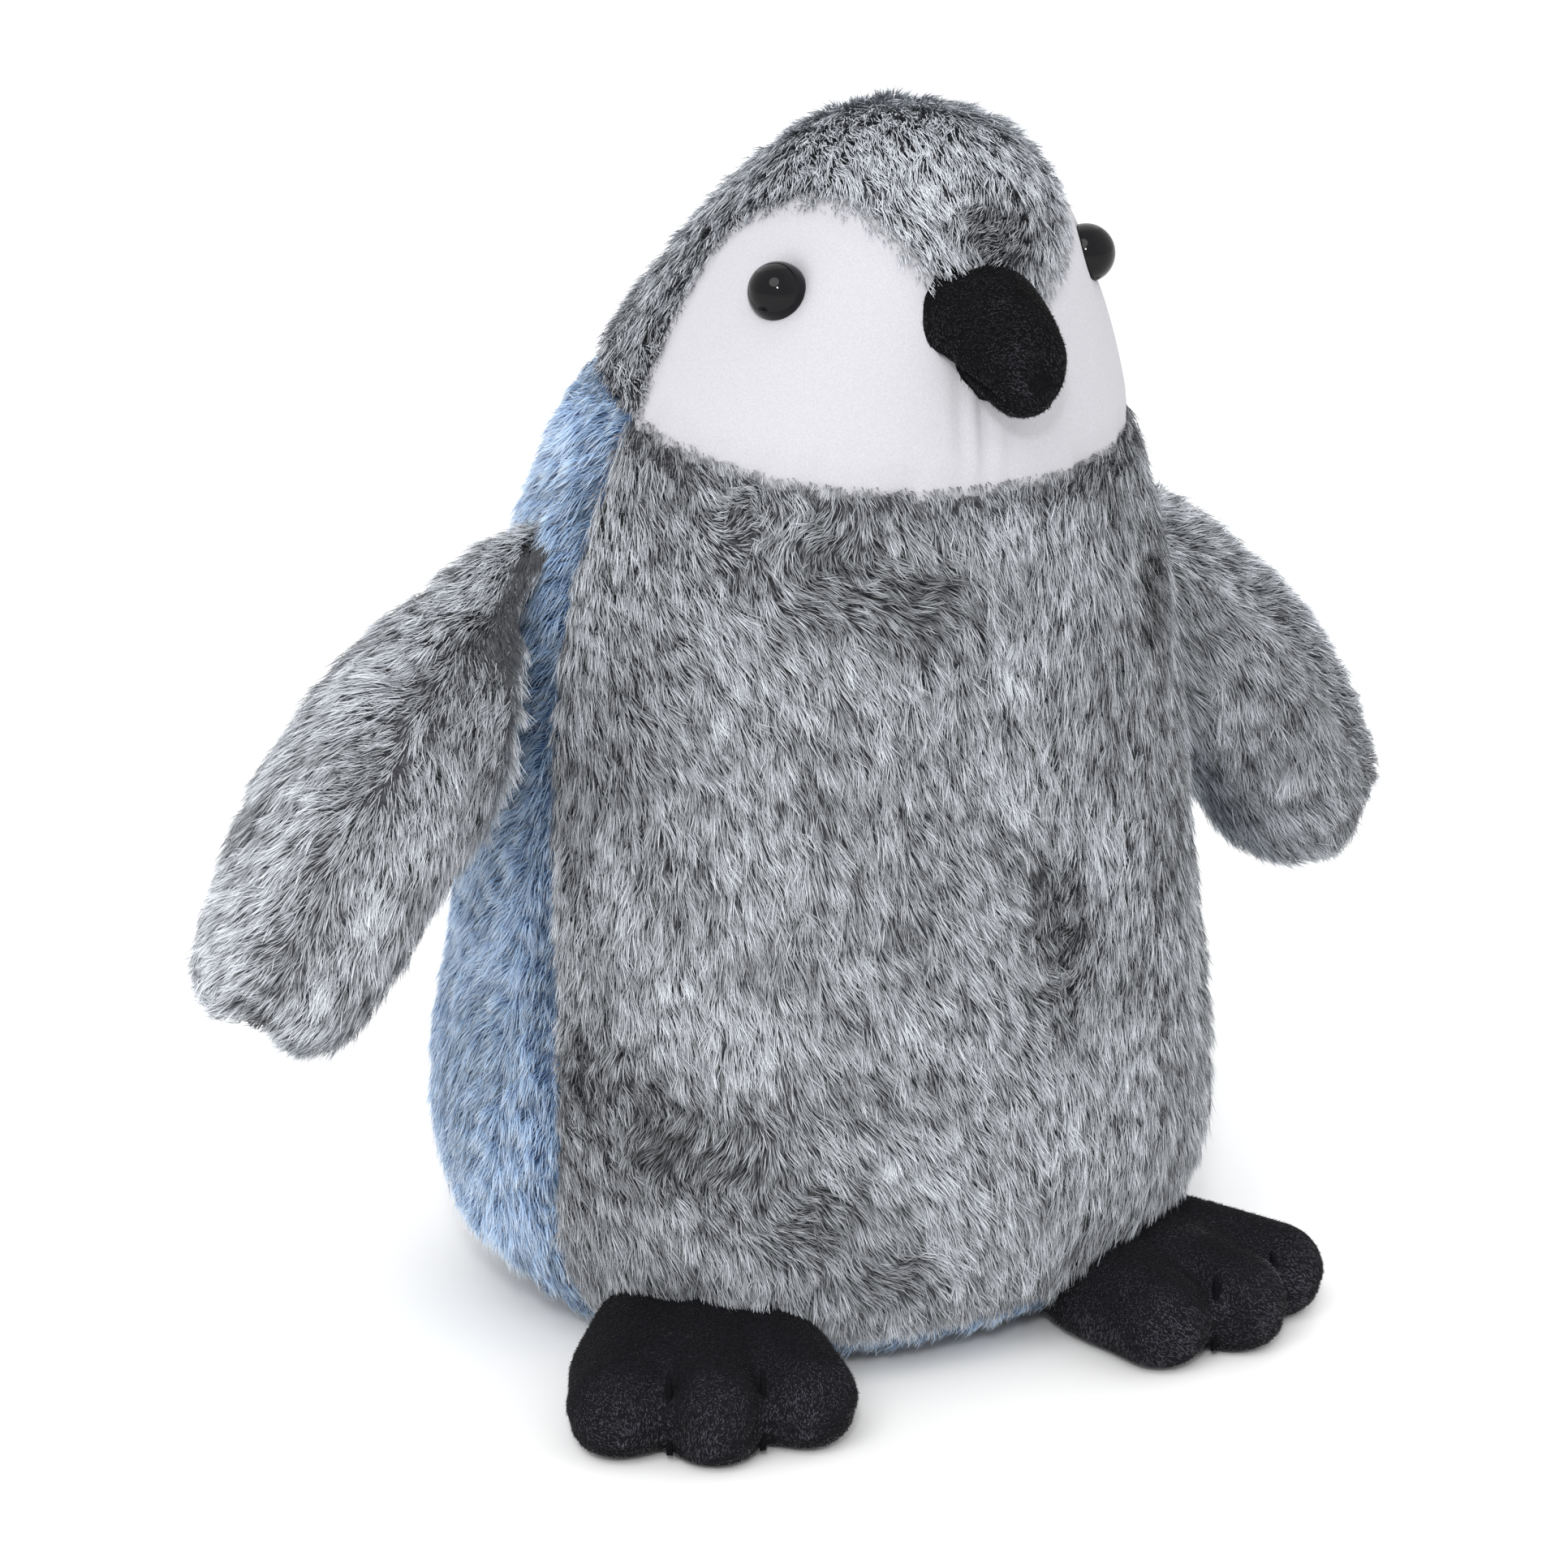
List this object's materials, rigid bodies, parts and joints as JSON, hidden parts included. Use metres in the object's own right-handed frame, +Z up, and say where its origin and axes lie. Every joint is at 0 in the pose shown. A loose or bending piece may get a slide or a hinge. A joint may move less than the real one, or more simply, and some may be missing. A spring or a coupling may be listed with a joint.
{
  "type": "plush penguin",
  "caption": "Standing stuffed penguin with frosted fur panels, a white velour face, a black plush beak and feet, glossy eyes and wings that lift.",
  "frame": {"origin": "on the floor under the body's axis, in the middle of the base panel's flat face", "axes": "+Z up, the penguin faces -Y, its own right side is at -X"},
  "size_m": [0.3221, 0.1933, 0.277],
  "materials": {
    "grey_fur": "frosted fake fur, dark roots and pale tips, about 10 mm long",
    "blue_fur": "frosted fake fur, blue, about 10 mm long",
    "white_velour": "white brushed velour",
    "black_plush": "black short-pile plush",
    "eye_plastic": "polished black",
    "washer_plastic": "natural",
    "fibre": "loose polyester fibre",
    "bag_cloth": "plain woven bag",
    "pellets": "plastic pellets",
    "thread": "sewing thread"
  },
  "bodies": {
    "root": {"front_panel": "grey_fur", "crown_panel": "grey_fur", "back_panel_right": "blue_fur", "back_panel_left": "blue_fur", "base_panel": "blue_fur", "cheek_right": "white_velour", "cheek_left": "white_velour", "beak_top": "black_plush", "beak_under": "black_plush", "eye_right": "eye_plastic", "eye_left": "eye_plastic", "eye_washer_right": "washer_plastic", "eye_washer_left": "washer_plastic", "fibre_filling": "fibre", "beak_filling": "fibre", "pellet_bag": "bag_cloth", "pellet_fill": "pellets", "closing_stitches": "thread"},
    "wing_right": {"wing_right_outer": "grey_fur", "wing_right_inner": "grey_fur", "wing_filling_right": "fibre"},
    "wing_left": {"wing_left_outer": "grey_fur", "wing_left_inner": "grey_fur", "wing_filling_left": "fibre"},
    "foot_right": {"foot_right_top": "black_plush", "foot_right_sole": "black_plush", "foot_filling_right": "fibre", "toe_stitches_right": "thread"},
    "foot_left": {"foot_left_top": "black_plush", "foot_left_sole": "black_plush", "foot_filling_left": "fibre", "toe_stitches_left": "thread"}
  },
  "joints": [
    {"name": "wing_right_lift", "type": "hinge", "parent": "root", "child": "wing_right", "pos_m": [-0.078, 0.003, 0.168], "axis": [0, 1, 0], "range_deg": [-15, 55], "stiffness_Nm_per_rad": 0.08},
    {"name": "wing_left_lift", "type": "hinge", "parent": "root", "child": "wing_left", "pos_m": [0.078, 0.003, 0.168], "axis": [0, -1, 0], "range_deg": [-7, 63], "stiffness_Nm_per_rad": 0.08},
    {"name": "foot_right_fold", "type": "hinge", "parent": "root", "child": "foot_right", "pos_m": [-0.06588, -0.04553, 0.009], "axis": [-0.8829, 0.4695, 0], "range_deg": [0, 30], "stiffness_Nm_per_rad": 0.05},
    {"name": "foot_left_fold", "type": "hinge", "parent": "root", "child": "foot_left", "pos_m": [0.04069, -0.05994, 0.009], "axis": [-0.9848, -0.1736, 0], "range_deg": [0, 30], "stiffness_Nm_per_rad": 0.05}
  ]
}
